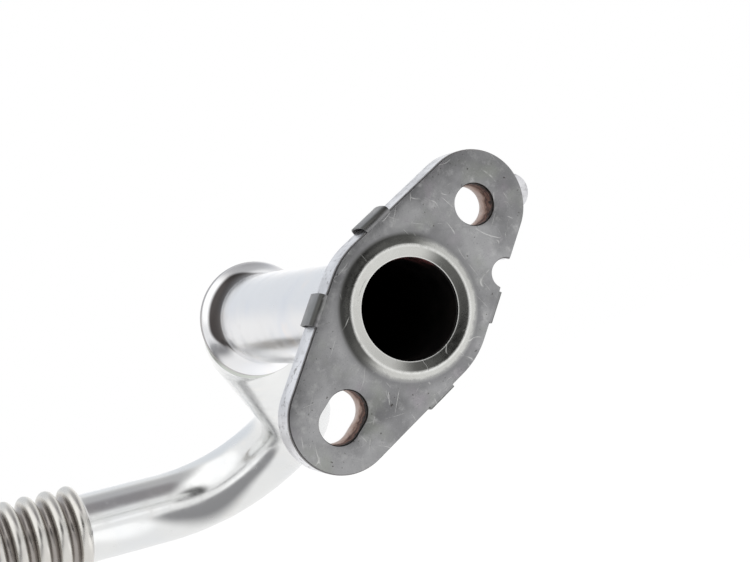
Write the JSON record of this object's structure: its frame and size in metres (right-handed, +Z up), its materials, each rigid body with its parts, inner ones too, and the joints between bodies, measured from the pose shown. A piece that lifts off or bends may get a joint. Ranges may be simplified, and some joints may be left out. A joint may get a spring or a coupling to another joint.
{
  "type": "turbo oil return pipe",
  "caption": "Bent metal drain pipe with a two-bolt flange, clipped-on sheet gasket, double rolled ring and a convoluted outlet end.",
  "frame": {"origin": "middle of the underside of the part's box, where the pipe lies on level ground", "axes": "+Y from the flange towards the bends, +Z up, the convoluted outlet runs towards -X"},
  "size_m": [0.1768, 0.2036, 0.0492],
  "materials": {
    "flange": "zinc plated, light grey, with a little rust at the bolt holes",
    "gasket": "worn sheet steel, scratched mid grey",
    "tube": "bright smooth steel with a faint lavender cast",
    "braze": "dull braze metal"
  },
  "bodies": {
    "root": {"flange_plate": "flange", "gasket": "gasket", "inlet_tube": "tube", "bent_tube": "tube", "braze_fillet": "braze"}
  },
  "joints": []
}
